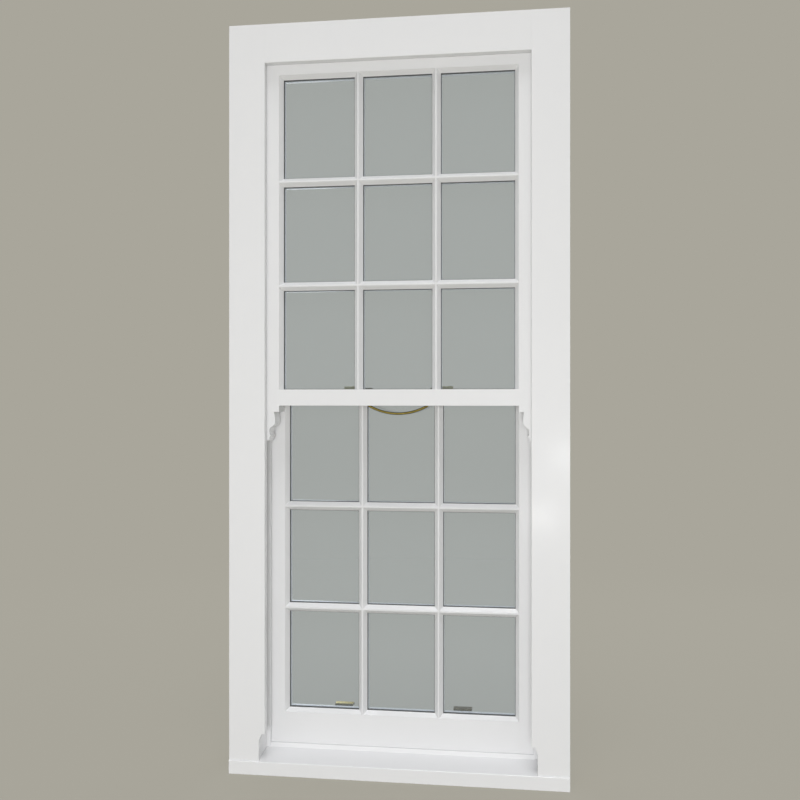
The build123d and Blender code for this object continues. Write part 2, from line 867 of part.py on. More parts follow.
with BuildPart() as lower_bottom_rail:
    add(bottom_rail_blank)
    add(bottom_tenons)
    add([sash_clearance] + lower_upright + lower_openings, mode=Mode.SUBTRACT)
    add(lower_brass_screws.part, mode=Mode.SUBTRACT)
finish(lower_bottom_rail.part, "lower_bottom_rail")

lower_stiles = []
for side, hand in ((-1, "left"), (1, "right")):
    with BuildPart() as lower_stile:
        block((side * sight, side * sash_edge), (lower_front, lower_back), (sash_bottom, meeting_top))
        add([lower_meeting_blank, bottom_rail_blank] + lower_across + lower_openings, mode=Mode.SUBTRACT)
        add([lower_meeting_tenons, bottom_tenons, sash_clearance], mode=Mode.SUBTRACT)
        add(edge_groove(side, lower_middle, meeting_top), mode=Mode.SUBTRACT)
    lower_stiles.append(finish(lower_stile.part, f"lower_stile_{hand}"))

with BuildPart() as lower_vertical_bars:
    add(lower_upright)
    add(lower_across + lower_openings, mode=Mode.SUBTRACT)
finish(lower_vertical_bars.part, "lower_vertical_bars")

with BuildPart() as lower_horizontal_bars:
    add(lower_across)
    add(lower_openings, mode=Mode.SUBTRACT)
finish(lower_horizontal_bars.part, "lower_horizontal_bars")

# Glazing of both sashes
sash_glazing = {}
for sash, rows, face in (("upper", upper_rows, upper_front), ("lower", lower_rows, lower_front)):
    panes = [(c, r, face, sash == "upper" and r == rows[0]) for c in columns for r in rows]
    units = [glazing_unit(*pane) for pane in panes]
    with BuildPart() as glazing_fillets:
        add([bevelled_fillet(*pane) for pane in panes])
    with BuildPart() as sash_glass:
        add([unit[0] for unit in units])
    with BuildPart() as spacers:
        add([unit[1] for unit in units])
    finish(glazing_fillets.part, f"{sash}_glazing_fillets")
    finish(sash_glass.part, f"{sash}_glass")
    finish(spacers.part, f"{sash}_spacers")
    sash_glazing[sash] = (glazing_fillets.part, sash_glass.part, spacers.part)

# Bow handle under the upper sash's meeting rail
with BuildPart() as bow_handle:
    with BuildLine() as bow:
        ThreePointArc(
            (-handle_chord / 2, upper_middle, meeting_bottom),
            (0, upper_middle, meeting_bottom - handle_drop),
            (handle_chord / 2, upper_middle, meeting_bottom),
        )
    with BuildSketch(Plane(origin=bow.line @ 0, z_dir=bow.line % 0)):
        Circle(handle_bar_radius)
    sweep(path=bow.line)
    with BuildSketch(Plane.XY.offset(meeting_bottom)):
        for s in (-1, 1):
            with Locations((s * (handle_chord / 2 + handle_plate_shift), upper_middle)):
                RectangleRounded(handle_plate_length, handle_plate_width, 3)
    extrude(amount=handle_plate_thickness)
    block((-handle_chord, handle_chord), (upper_front, upper_back),
          (meeting_bottom + handle_plate_thickness, meeting_top), mode=Mode.SUBTRACT)
    add(upper_brass_screws.part, mode=Mode.SUBTRACT)
finish(bow_handle.part, "bow_handle")

# Keeps on the upper sash's ledge, each a plate with a wall and a lip that the fastener's arm slides under
arm_bottom = meeting_top + fastener_thickness + running_play
arm_top = arm_bottom + fastener_arm_thickness
lip_bottom = meeting_top + keep_plate_thickness + keep_slot_height
with BuildPart() as fastener_keeps:
    for s in (-1, 1):
        middle = s * (fastener_offset + fastener_pivot_shift)
        x = (middle - keep_length / 2, middle + keep_length / 2)
        outside = keep_middle - keep_width / 2
        block(x, (outside, outside + keep_width), (meeting_top, meeting_top + keep_plate_thickness))
        block(x, (outside, outside + keep_wall), (meeting_top, lip_bottom + keep_lip_thickness))
        block(x, (outside, outside + keep_lip_width), (lip_bottom, lip_bottom + keep_lip_thickness))
    tops = fastener_keeps.edges().filter_by(Axis.X).group_by(Axis.Z)[-1]
    fillet(tops, keep_lip_thickness * 0.4)
    add(upper_brass_screws.part, mode=Mode.SUBTRACT)
finish(fastener_keeps.part, "fastener_keeps")

# Sash fasteners on the lower sash's meeting rail: base with its riveted pin, and turning arm
pad_top = arm_top + fastener_pad_height
cap_bottom = arm_top + 0.25 * fastener_pad_height
cap_top = cap_bottom + fastener_cap_height
with BuildPart() as fastener_bases:
    for s in (-1, 1):
        pivot = (s * (fastener_offset + fastener_pivot_shift), fastener_y)
        with BuildSketch(Plane.XY.offset(meeting_top)):
            with Locations((s * fastener_offset, fastener_y)):
                SlotOverall(fastener_length, fastener_width)
        extrude(amount=fastener_thickness)
        with BuildSketch(Plane.XY.offset(meeting_top + fastener_thickness)):
            with Locations(pivot):
                Circle(fastener_pin_radius)
        extrude(amount=cap_bottom - meeting_top - fastener_thickness)
        with BuildSketch(Plane.XY.offset(cap_bottom)):
            with Locations(pivot):
                Circle(fastener_cap_radius)
        extrude(amount=cap_top - cap_bottom)
        fillet(fastener_bases.edges().group_by(Axis.Z)[-1], fastener_cap_height * 0.4)
    add(lower_brass_screws.part, mode=Mode.SUBTRACT)
finish(fastener_bases.part, "fastener_bases")

fastener_arms = []
for side, hand in ((-1, "left"), (1, "right")):
    pivot = (side * (fastener_offset + fastener_pivot_shift), fastener_y)
    half_width = fastener_arm_width / 2
    with BuildPart() as fastener_arm:
        with BuildSketch(Plane.XY.offset(arm_bottom)):
            with Locations((pivot[0] - side * (fastener_arm_reach - half_width) / 2, fastener_y)):
                SlotOverall(fastener_arm_reach + half_width, fastener_arm_width)
            with Locations(pivot):
                Circle(fastener_pad_width / 2)
        extrude(amount=fastener_arm_thickness)
        with BuildSketch(Plane.XY.offset(arm_top)):
            with Locations((pivot[0] - side * (fastener_pad_length - fastener_pad_width) / 2, fastener_y)):
                SlotOverall(fastener_pad_length, fastener_pad_width)
        extrude(amount=fastener_pad_height)
        with BuildSketch(Plane.XY.offset(arm_bottom)):
            with Locations(pivot):
                Circle(fastener_pin_radius + pin_play)
        extrude(amount=pad_top - arm_bottom, mode=Mode.SUBTRACT)
        with BuildSketch(Plane.XY.offset(cap_bottom - running_play)):
            with Locations(pivot):
                Circle(fastener_cap_radius + running_play + pin_play)
        extrude(amount=cap_top, mode=Mode.SUBTRACT)
    fastener_arms.append(finish(fastener_arm.part, f"fastener_arm_{hand}"))

# Hook lifts on the inside of the bottom rail
lift_top = bottom_rail_edge + lift_rise
with BuildPart() as sash_lifts:
    for s in (-1, 1):
        with BuildSketch(Plane.YZ.offset(s * lift_offset - lift_width / 2)) as hook:
            with BuildLine():
                Polyline(
                    (lower_back, lift_plate_bottom),
                    (lower_back, lift_top),
                    (lower_back + lift_reach, lift_top),
                    (lower_back + lift_reach, lift_top - lift_lip),
                    (lower_back + lift_reach - lift_thickness, lift_top - lift_lip),
                    (lower_back + lift_reach - lift_thickness, lift_top - lift_thickness),
                    (lower_back + lift_thickness, lift_top - lift_thickness),
                    (lower_back + lift_thickness, lift_plate_bottom),
                    close=True,
                )
            make_face()
            outer = hook.vertices().group_by(Axis.Y)[-1]
            fillet(outer, lift_corner)
            root = (lower_back + lift_thickness, lift_top - lift_thickness, 0)
            fillet(hook.vertices().sort_by_distance(root)[0], lift_corner - lift_thickness)
        extrude(amount=lift_width)
    foot = sash_lifts.edges().filter_by(Axis.Y).group_by(Axis.Z)[0]
    fillet(foot, lift_corner)
    add(lower_brass_screws.part, mode=Mode.SUBTRACT)
finish(sash_lifts.part, "sash_lifts")

# Pulleys: case, axle and wheel for each cord
window_half = sqrt(wheel_radius**2 - (wheel_x - channel - face_plate_thickness) ** 2) + 1.5
cheek_face = wheel_width / 2 + wheel_play
with BuildPart() as pulley_cases:
    for side in (-1, 1):
        for y in (upper_middle, lower_middle):
            with BuildSketch(Plane.YZ.offset(side * channel)):
                with Locations((y, pulley_height)):
                    SlotOverall(face_plate_length, face_plate_width, rotation=90)
                    Rectangle(2 * cheek_face, 2 * window_half, mode=Mode.SUBTRACT)
            extrude(amount=side * face_plate_thickness)
            for s in (-1, 1):
                plate = side * (channel + face_plate_thickness)
                with BuildSketch(elevation(y + s * cheek_face)):
                    with BuildLine():
                        Polyline(
                            (plate, pulley_height - window_half),
                            (side * wheel_x, pulley_height - cheek_radius),
                            (side * wheel_x, pulley_height + cheek_radius),
                            (plate, pulley_height + window_half),
                            close=True,
                        )
                    make_face()
                    with Locations((side * wheel_x, pulley_height)):
                        Circle(cheek_radius)
                        Circle(axle_diameter / 2, mode=Mode.SUBTRACT)
                extrude(amount=-s * cheek_thickness)
    add(frame_screws.part, mode=Mode.SUBTRACT)
finish(pulley_cases.part, "pulley_cases")

with BuildPart() as pulley_axles:
    for side in (-1, 1):
        for y in (upper_middle, lower_middle):
            with BuildSketch(elevation(y - cheek_face - cheek_thickness)):
                with Locations((side * wheel_x, pulley_height)):
                    Circle(axle_diameter / 2)
            extrude(amount=-2 * (cheek_face + cheek_thickness))
finish(pulley_axles.part, "pulley_axles")

cord_radius = cord_diameter / 2
groove_radius = cord_radius + running_play
groove_rim = groove_radius + 1
wheel_bore = axle_diameter / 2 + axle_play
wheel_hub = wheel_bore + 5
wheel_rim = wheel_cord_radius - groove_radius - 3
wheel_dish = 2.5
half_wheel = wheel_width / 2
for sash, y in (("upper", upper_middle), ("lower", lower_middle)):
    for side, hand in ((-1, "left"), (1, "right")):
        centre = (side * wheel_x, y, pulley_height)
        with BuildPart() as wheel:
            with BuildSketch(Plane(origin=centre, x_dir=(0, 1, 0), z_dir=(1, 0, 0))):
                with BuildLine():
                    Polyline(
                        (-groove_radius, wheel_cord_radius),
                        (-groove_rim, wheel_radius),
                        (-half_wheel, wheel_radius),
                        (-half_wheel, wheel_rim),
                        (-half_wheel + wheel_dish, wheel_rim),
                        (-half_wheel + wheel_dish, wheel_hub),
                        (-half_wheel, wheel_hub),
                        (-half_wheel, wheel_bore),
                        (half_wheel, wheel_bore),
                        (half_wheel, wheel_hub),
                        (half_wheel - wheel_dish, wheel_hub),
                        (half_wheel - wheel_dish, wheel_rim),
                        (half_wheel, wheel_rim),
                        (half_wheel, wheel_radius),
                        (groove_rim, wheel_radius),
                        (groove_radius, wheel_cord_radius),
                    )
                    ThreePointArc(
                        (groove_radius, wheel_cord_radius),
                        (0, wheel_cord_radius - groove_radius),
                        (-groove_radius, wheel_cord_radius),
                    )
                make_face()
            revolve(axis=Axis(centre, (0, 1, 0)))
        finish(wheel.part, f"{sash}_{hand}_wheel")

# Weights, each half as heavy as its sash give or take the bias, so that both sashes stay shut
knot_seat = sqrt((knot_radius + running_play) ** 2 - weight_bore**2)
knot_lift = sqrt(knot_hole_radius**2 - (cord_groove_width / 2) ** 2) - sqrt(
    (knot_radius + running_play) ** 2 - (cord_groove_width / 2) ** 2
)


def mass(pieces, density):
    """Mass of some pieces in kg."""
    return sum(piece.volume for piece in pieces) * density


def weight_length(kilograms):
    """Length of a weight of the given mass, its corners, bore and window allowed for."""
    section = weight_width * weight_depth - (4 - pi) * weight_edge**2
    window = (weight_width - 2 * weight_wall) * weight_depth * weight_window
    bore = pi * weight_bore**2 * weight_neck
    return (kilograms / iron + window + bore) / section


timbers = {
    "upper": [upper_top_rail.part, upper_meeting_rail.part, upper_vertical_bars.part],
    "lower": [lower_meeting_rail.part, lower_bottom_rail.part, lower_vertical_bars.part],
}
timbers["upper"].extend([upper_horizontal_bars.part] + upper_stiles)
timbers["lower"].extend([lower_horizontal_bars.part] + lower_stiles)
brasses = {
    "upper": [bow_handle.part, fastener_keeps.part, upper_brass_screws.part],
    "lower": [fastener_bases.part, sash_lifts.part, lower_brass_screws.part] + fastener_arms,
}
lengths = {}
for sash, bias in (("upper", upper_bias), ("lower", lower_bias)):
    fillets, panes, spacer_bars = sash_glazing[sash]
    sash_mass = mass(timbers[sash] + [fillets], wood) + mass([panes], glass)
    sash_mass += mass([spacer_bars], plastic) + mass(brasses[sash], brass)
    lengths[sash] = weight_length(bias * sash_mass / 2)
    print(sash, "sash", round(sash_mass, 2), "kg, weights", round(lengths[sash], 1), "mm")

weight_tops = {"upper": weight_floor_height + lengths["upper"], "lower": pulley_height - weight_headroom}
knots = {"upper": sash_top - knot_drop + knot_lift, "lower": meeting_top - knot_drop + knot_lift}
for sash, y in (("upper", upper_middle), ("lower", lower_middle)):
    top = weight_tops[sash]
    knot = top - weight_neck - knot_seat
    for side, hand in ((-1, "left"), (1, "right")):
        x = side * weight_x
        with BuildPart() as weight:
            with BuildSketch(Plane.XY.offset(top - lengths[sash])):
                with Locations((x, y)):
                    RectangleRounded(weight_width, weight_depth, weight_edge)
            extrude(amount=lengths[sash])
            with BuildSketch(Plane.XY.offset(top)):
                with Locations((x, y)):
                    Circle(weight_bore)
            extrude(amount=-weight_neck, mode=Mode.SUBTRACT)
            block((x - weight_width / 2 + weight_wall, x + weight_width / 2 - weight_wall),
                  (y - weight_depth, y + weight_depth),
                  (top - weight_neck - weight_window, top - weight_neck), mode=Mode.SUBTRACT)
        finish(weight.part, f"{sash}_{hand}_weight")

        with BuildPart() as cord:
            for run_x, run_bottom in ((side * (channel - cord_inset), knots[sash]), (x, knot)):
                with BuildSketch(Plane.XY.offset(run_bottom)):
                    with Locations((run_x, y)):
                        Circle(cord_radius)
                extrude(amount=pulley_height - run_bottom)
            with BuildSketch(Plane.XY.offset(pulley_height)):
                with Locations((x, y)):
                    Circle(cord_radius)
            revolve(axis=Axis((side * wheel_x, y, pulley_height), (0, -side, 0)), revolution_arc=180)
            with Locations((side * (channel - knot_radius - knot_play), y, knots[sash]), (x, y, knot)):
                Sphere(knot_radius)
        finish(cord.part, f"{sash}_{hand}_cord")
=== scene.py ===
"""Looks of the timber box sash window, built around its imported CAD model.

Metres, in the CAD's own frame: X along the window, Y from outside to inside, Z up from the sill.
"""

from math import radians

import bmesh
import bpy
import numpy as np
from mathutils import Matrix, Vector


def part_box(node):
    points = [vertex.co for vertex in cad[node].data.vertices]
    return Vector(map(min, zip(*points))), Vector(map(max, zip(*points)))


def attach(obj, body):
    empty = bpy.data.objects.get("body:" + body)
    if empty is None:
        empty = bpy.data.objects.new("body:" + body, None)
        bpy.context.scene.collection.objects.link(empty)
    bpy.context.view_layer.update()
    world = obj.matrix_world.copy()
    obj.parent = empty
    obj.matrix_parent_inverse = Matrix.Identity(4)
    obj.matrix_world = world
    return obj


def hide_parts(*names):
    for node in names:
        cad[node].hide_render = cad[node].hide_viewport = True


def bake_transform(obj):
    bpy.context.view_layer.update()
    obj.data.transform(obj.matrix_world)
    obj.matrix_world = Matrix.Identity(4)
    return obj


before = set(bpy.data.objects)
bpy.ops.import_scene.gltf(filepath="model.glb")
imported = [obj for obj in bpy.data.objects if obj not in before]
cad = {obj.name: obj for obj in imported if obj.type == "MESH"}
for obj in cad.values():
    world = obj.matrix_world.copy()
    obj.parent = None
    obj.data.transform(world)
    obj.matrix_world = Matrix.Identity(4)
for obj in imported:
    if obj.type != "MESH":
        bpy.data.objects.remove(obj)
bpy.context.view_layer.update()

# Studio. The camera stands outside at mid height, a little to the right of the window's middle, and is
# turned towards it. A pale floor runs into an even backdrop, with broad soft lamps on both sides of the
# window and one high above it.
outside_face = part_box("outer_lining_left")[0].y
eye_right, eye_distance, eye_height, eye_turn = 0.3584, 2.497, 0.9987, 7.9
film_width, picture_pixels, focal_pixels = 36, 800, 965
eye = bpy.data.objects.new("eye", bpy.data.cameras.new("eye"))
bpy.context.scene.collection.objects.link(eye)
eye.location = (eye_right, outside_face - eye_distance, eye_height)
eye.rotation_euler = (radians(90), 0, radians(eye_turn))
eye.data.sensor_width = film_width
eye.data.lens = focal_pixels / picture_pixels * film_width
eye.data.clip_end = 200
bpy.context.scene.camera = eye
bpy.context.scene.view_settings.view_transform = "Standard"

backdrop_colour = (0.397, 0.381, 0.328)
studio_light, studio_strength = (0.965, 0.98, 1.0), 0.32


def backdrop_rays(nodes, links):
    """Mask that is 1 for rays that see the backdrop: the camera's, and those through glass and off gloss."""
    path = nodes.new("ShaderNodeLightPath")
    seen = nodes.new("ShaderNodeMath")
    seen.operation = "MAXIMUM"
    mirrored = nodes.new("ShaderNodeMath")
    mirrored.operation = "MAXIMUM"
    links.new(path.outputs["Is Camera Ray"], seen.inputs[0])
    links.new(path.outputs["Is Transmission Ray"], seen.inputs[1])
    links.new(seen.outputs[0], mirrored.inputs[0])
    links.new(path.outputs["Is Glossy Ray"], mirrored.inputs[1])
    return mirrored.outputs[0]


def set_world(background, light, strength):
    """World that lights the object evenly, and shows the backdrop's colour to the rays that are to see it."""
    world = bpy.data.worlds.new("studio")
    bpy.context.scene.world = world
    world.use_nodes = True
    nodes, links = world.node_tree.nodes, world.node_tree.links
    nodes.clear()
    lit = nodes.new("ShaderNodeBackground")
    lit.inputs["Color"].default_value = (*light, 1)
    lit.inputs["Strength"].default_value = strength
    shown = nodes.new("ShaderNodeBackground")
    shown.inputs["Color"].default_value = (*background, 1)
    mix = nodes.new("ShaderNodeMixShader")
    out = nodes.new("ShaderNodeOutputWorld")
    links.new(backdrop_rays(nodes, links), mix.inputs["Fac"])
    links.new(lit.outputs[0], mix.inputs[1])
    links.new(shown.outputs[0], mix.inputs[2])
    links.new(mix.outputs[0], out.inputs["Surface"])


set_world(backdrop_colour, studio_light, studio_strength)

shadow_near, shadow_far, shadow_share, floor_lift = 0.6, 3.5, 0.2, 1.1


def lay_floor(reach, cells, colour):
    """A flat square at the sill's foot: a grid of even steps from -reach to reach along X and Y. Its material
    shows the backdrop's colour, darkened near the window where its shadow falls."""
    side = np.linspace(-reach, reach, cells + 1)
    x, y = np.meshgrid(side, side, indexing="ij")
    points = np.stack([x, y, np.zeros_like(x)], -1).reshape(-1, 3)
    i, j = np.meshgrid(np.arange(cells), np.arange(cells), indexing="ij")
    first = (i * (cells + 1) + j).ravel()
    faces = np.stack([first, first + cells + 1, first + cells + 2, first + 1], -1)
    mesh = bpy.data.meshes.new("floor")
    mesh.from_pydata(points.tolist(), [], faces.tolist())
    floor = bpy.data.objects.new("floor", mesh)
    bpy.context.scene.collection.objects.link(floor)
    material = bpy.data.materials.new("floor")
    material.use_nodes = True
    nodes, links = material.node_tree.nodes, material.node_tree.links
    nodes.clear()
    place = nodes.new("ShaderNodeTexCoord")
    far = nodes.new("ShaderNodeVectorMath")
    far.operation = "LENGTH"
    fade = nodes.new("ShaderNodeMapRange")
    fade.interpolation_type = "SMOOTHSTEP"
    fade.inputs["From Min"].default_value = shadow_near
    fade.inputs["From Max"].default_value = shadow_far
    fade.inputs["To Min"].default_value = 1 - shadow_share
    share = nodes.new("ShaderNodeMath")
    share.operation = "MULTIPLY"
    even = nodes.new("ShaderNodeEmission")
    even.inputs["Color"].default_value = (*colour, 1)
    matt = nodes.new("ShaderNodeBsdfDiffuse")
    matt.inputs["Color"].default_value = (*[floor_lift * c for c in colour], 1)
    mix = nodes.new("ShaderNodeMixShader")
    out = nodes.new("ShaderNodeOutputMaterial")
    links.new(place.outputs["Object"], far.inputs[0])
    links.new(far.outputs["Value"], fade.inputs["Value"])
    links.new(backdrop_rays(nodes, links), share.inputs[0])
    links.new(fade.outputs["Result"], share.inputs[1])
    links.new(share.outputs[0], mix.inputs["Fac"])
    links.new(matt.outputs[0], mix.inputs[1])
    links.new(even.outputs[0], mix.inputs[2])
    links.new(mix.outputs[0], out.inputs["Surface"])
    mesh.materials.append(material)


lay_floor(40, 8, backdrop_colour)


def soft_lamp(name, place, turn, size, power, mirrored=True):
    """A square area lamp of the given size in metres and power in watts, turned by Euler angles in degrees.
    One that is not mirrored lights the window without showing on its gloss."""
    lamp = bpy.data.objects.new(name, bpy.data.lights.new(name, "AREA"))
    lamp.data.shape = "SQUARE"
    lamp.data.size = size
    lamp.data.energy = power
    lamp.location = place
    lamp.rotation_euler = [radians(a) for a in turn]
    lamp.visible_camera = False
    lamp.visible_glossy = mirrored
    lamp.visible_transmission = False
    bpy.context.scene.collection.objects.link(lamp)


glint_distance = outside_face - 3.0
soft_lamp("front_softbox", place=(0.25, -4.6, 0.85), turn=(91, 0, 3), size=1.4, power=97, mirrored=False)
soft_lamp("left_softbox", place=(-3.6, -3.2, 0.7), turn=(90, 0, -47), size=2.0, power=15)
soft_lamp("right_softbox", place=(3.6, -3.0, 0.7), turn=(90, 0, 48), size=2.0, power=10)
soft_lamp("top_softbox", place=(0.3, -4.0, 14.0), turn=(20, 0, 0), size=4.5, power=730)
soft_lamp("inside_softbox", place=(-2.2, 3.0, 1.2), turn=(-90, 0, 36), size=3.0, power=46)
soft_lamp("inside_fill", place=(2.0, 3.0, 0.9), turn=(-90, 0, -34), size=3.0, power=56, mirrored=False)
soft_lamp("low_glint", place=(0.4095, glint_distance, 0.339), turn=(101, 0, 1), size=0.1, power=0.9)
soft_lamp("side_glint", place=(0.532, glint_distance, 0.679), turn=(94, 0, 2), size=0.1, power=0.9)

# Painted timber of the box frame: softwood boards, housed and nailed together and brushed with white gloss.
# The brush follows each board's length, so upright and level boards have their strokes turned. Sanding and
# paint leave a small radius on the sharp edges.
paint_colour, paint_shade = (0.785, 0.787, 0.797), (0.775, 0.777, 0.787)
stroke_stretch, paint_edge_radius = 0.03, 0.0008


def noise(nodes, scale, detail=2.0):
    """A noise texture with scale waves to the metre and the given detail."""
    texture = nodes.new("ShaderNodeTexNoise")
    texture.inputs["Scale"].default_value = scale
    texture.inputs["Detail"].default_value = detail
    return texture


def spread(nodes, low, high):
    """A range that takes 0 to low and 1 to high."""
    mapped = nodes.new("ShaderNodeMapRange")
    mapped.inputs["To Min"].default_value = low
    mapped.inputs["To Max"].default_value = high
    return mapped


def relief(nodes, strength, depth):
    """A bump whose height of 1 stands depth metres proud."""
    bump = nodes.new("ShaderNodeBump")
    bump.inputs["Strength"].default_value = strength
    bump.inputs["Distance"].default_value = depth
    return bump


def brushed_paint_group():
    """Group for brushed gloss paint: the height is noise drawn out along the board, plus a quarter as much of
    fine orange peel, and slow noise moves the colour and the roughness."""
    group = bpy.data.node_groups.new("brushed gloss paint", "ShaderNodeTree")
    face = group.interface
    face.new_socket("Stretched Place", in_out="INPUT", socket_type="NodeSocketVector")
    face.new_socket("Place", in_out="INPUT", socket_type="NodeSocketVector")
    face.new_socket("Colour", in_out="INPUT", socket_type="NodeSocketColor")
    face.new_socket("Shade", in_out="INPUT", socket_type="NodeSocketColor")
    face.new_socket("Colour", in_out="OUTPUT", socket_type="NodeSocketColor")
    face.new_socket("Roughness", in_out="OUTPUT", socket_type="NodeSocketFloat")
    face.new_socket("Height", in_out="OUTPUT", socket_type="NodeSocketFloat")
    nodes, links = group.nodes, group.links
    given = nodes.new("NodeGroupInput")
    made = nodes.new("NodeGroupOutput")
    strokes, patches, peel = noise(nodes, 260, 4), noise(nodes, 30, 3), noise(nodes, 900)
    tone = nodes.new("ShaderNodeMix")
    tone.data_type = "RGBA"
    gloss = spread(nodes, 0.25, 0.28)
    height = nodes.new("ShaderNodeMath")
    height.operation = "MULTIPLY_ADD"
    height.inputs[1].default_value = 0.25
    links.new(given.outputs["Stretched Place"], strokes.inputs["Vector"])
    links.new(given.outputs["Place"], patches.inputs["Vector"])
    links.new(given.outputs["Place"], peel.inputs["Vector"])
    links.new(patches.outputs["Fac"], tone.inputs["Factor"])
    links.new(given.outputs["Colour"], tone.inputs["A"])
    links.new(given.outputs["Shade"], tone.inputs["B"])
    links.new(tone.outputs["Result"], made.inputs["Colour"])
    links.new(patches.outputs["Fac"], gloss.inputs["Value"])
    links.new(gloss.outputs["Result"], made.inputs["Roughness"])
    links.new(peel.outputs["Fac"], height.inputs[0])
    links.new(strokes.outputs["Fac"], height.inputs[2])
    links.new(height.outputs[0], made.inputs["Height"])
    return group


brushed_paint = brushed_paint_group()


def start_material(name):
    """A new material, with its nodes, its links and its shader."""
    material = bpy.data.materials.new(name)
    material.use_nodes = True
    nodes, links = material.node_tree.nodes, material.node_tree.links
    return material, nodes, links, nodes["Principled BSDF"]


def gloss_paint(name, stretch):
    """Gloss paint whose brush strokes are drawn out by stretch, the scale of the pattern along X, Y and Z."""
    material, nodes, links, shader = start_material(name)
    shader.inputs["IOR"].default_value = 1.5
    shader.inputs["Coat Weight"].default_value = 0.25
    shader.inputs["Coat Roughness"].default_value = 0.12
    place = nodes.new("ShaderNodeTexCoord")
    mapping = nodes.new("ShaderNodeMapping")
    mapping.inputs["Scale"].default_value = stretch
    paint = nodes.new("ShaderNodeGroup")
    paint.node_tree = brushed_paint
    paint.inputs["Colour"].default_value = (*paint_colour, 1)
    paint.inputs["Shade"].default_value = (*paint_shade, 1)
    edges = nodes.new("ShaderNodeBevel")
    edges.inputs["Radius"].default_value = paint_edge_radius
    bump = relief(nodes, 0.12, 0.0004)
    links.new(edges.outputs["Normal"], bump.inputs["Normal"])
    links.new(place.outputs["Object"], mapping.inputs["Vector"])
    links.new(mapping.outputs["Vector"], paint.inputs["Stretched Place"])
    links.new(place.outputs["Object"], paint.inputs["Place"])
    links.new(paint.outputs["Colour"], shader.inputs["Base Color"])
    links.new(paint.outputs["Roughness"], shader.inputs["Roughness"])
    links.new(paint.outputs["Height"], bump.inputs["Height"])
    links.new(bump.outputs["Normal"], shader.inputs["Normal"])
    return material


upright_paint = gloss_paint("gloss paint, upright", (1, 1, stroke_stretch))
level_paint = gloss_paint("gloss paint, level", (stroke_stretch, 1, 1))


def finish_nodes(material, *names):
    """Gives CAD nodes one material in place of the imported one."""
    for name in names:
        cad[name].data.materials.clear()
        cad[name].data.materials.append(material)


finish_nodes(
    upright_paint, "outer_lining_left", "outer_lining_right", "inner_lining_left", "inner_lining_right",
    "pulley_stile_left", "pulley_stile_right", "side_parting_beads", "side_staff_beads", "pocket_pieces",
)
finish_nodes(
    level_paint, "sill", "head", "outer_head_lining", "inner_head_lining", "head_parting_bead",
    "head_staff_bead", "sill_staff_bead",
)

# Back linings and parting slips: thin pine boards that close the weight boxes and keep the weights apart.
# They are sawn, left rough and unpainted, and nailed or hung inside the frame where no one sees them.
early_wood, late_wood = (0.74, 0.55, 0.33), (0.52, 0.32, 0.16)


def two_tones(nodes, first, second, start=0.0, end=1.0):
    """A ramp from the colour first at start to the colour second at end."""
    ramp = nodes.new("ShaderNodeValToRGB")
    for element, colour, position in zip(ramp.color_ramp.elements, (first, second), (start, end)):
        element.position = position
        element.color = (*colour, 1)
    return ramp


def raw_pine():
    """Pine whose grain is noise drawn out along Z, coloured from pale early wood to dark late wood."""
    material, nodes, links, shader = start_material("raw pine")
    shader.inputs["Specular IOR Level"].default_value = 0.3
    place = nodes.new("ShaderNodeTexCoord")
    mapping = nodes.new("ShaderNodeMapping")
    mapping.inputs["Scale"].default_value = (1, 1, 0.04)
    grain = noise(nodes, 140, 6)
    grain.inputs["Distortion"].default_value = 0.6
    colour = two_tones(nodes, early_wood, late_wood, 0.35, 0.68)
    rough = spread(nodes, 0.6, 0.8)
    bump = relief(nodes, 0.4, 0.0006)
    links.new(place.outputs["Object"], mapping.inputs["Vector"])
    links.new(mapping.outputs["Vector"], grain.inputs["Vector"])
    links.new(grain.outputs["Fac"], colour.inputs["Fac"])
    links.new(grain.outputs["Fac"], rough.inputs["Value"])
    links.new(grain.outputs["Fac"], bump.inputs["Height"])
    links.new(colour.outputs["Color"], shader.inputs["Base Color"])
    links.new(rough.outputs["Result"], shader.inputs["Roughness"])
    links.new(bump.outputs["Normal"], shader.inputs["Normal"])
    return material


finish_nodes(raw_pine(), "back_linings", "parting_slips")

# Sash timbers: stiles, rails and glazing bars of softwood, tenoned and scribed together, and the bevelled
# fillets pinned round each pane to hold the glass. All are under the same brushed gloss as the frame.
finish_nodes(
    upright_paint, "upper_stile_left", "upper_stile_right", "upper_vertical_bars", "lower_stile_left",
    "lower_stile_right", "lower_vertical_bars", "upper_glazing_fillets", "lower_glazing_fillets",
)
finish_nodes(
    level_paint, "upper_top_rail", "upper_meeting_rail", "upper_horizontal_bars", "lower_meeting_rail",
    "lower_bottom_rail", "lower_horizontal_bars",
)

# Glass: two clear float panes to each double-glazed unit, sealed to a spacer bar and bedded in the sash. A
# thin metal coating gives them a faint cool cast, which shifts a little over the pane.
glass_tint, glass_tint_shifted = (0.908, 0.953, 1.0), (0.912, 0.955, 1.0)
glass_shadow = (0.95, 0.955, 0.955)


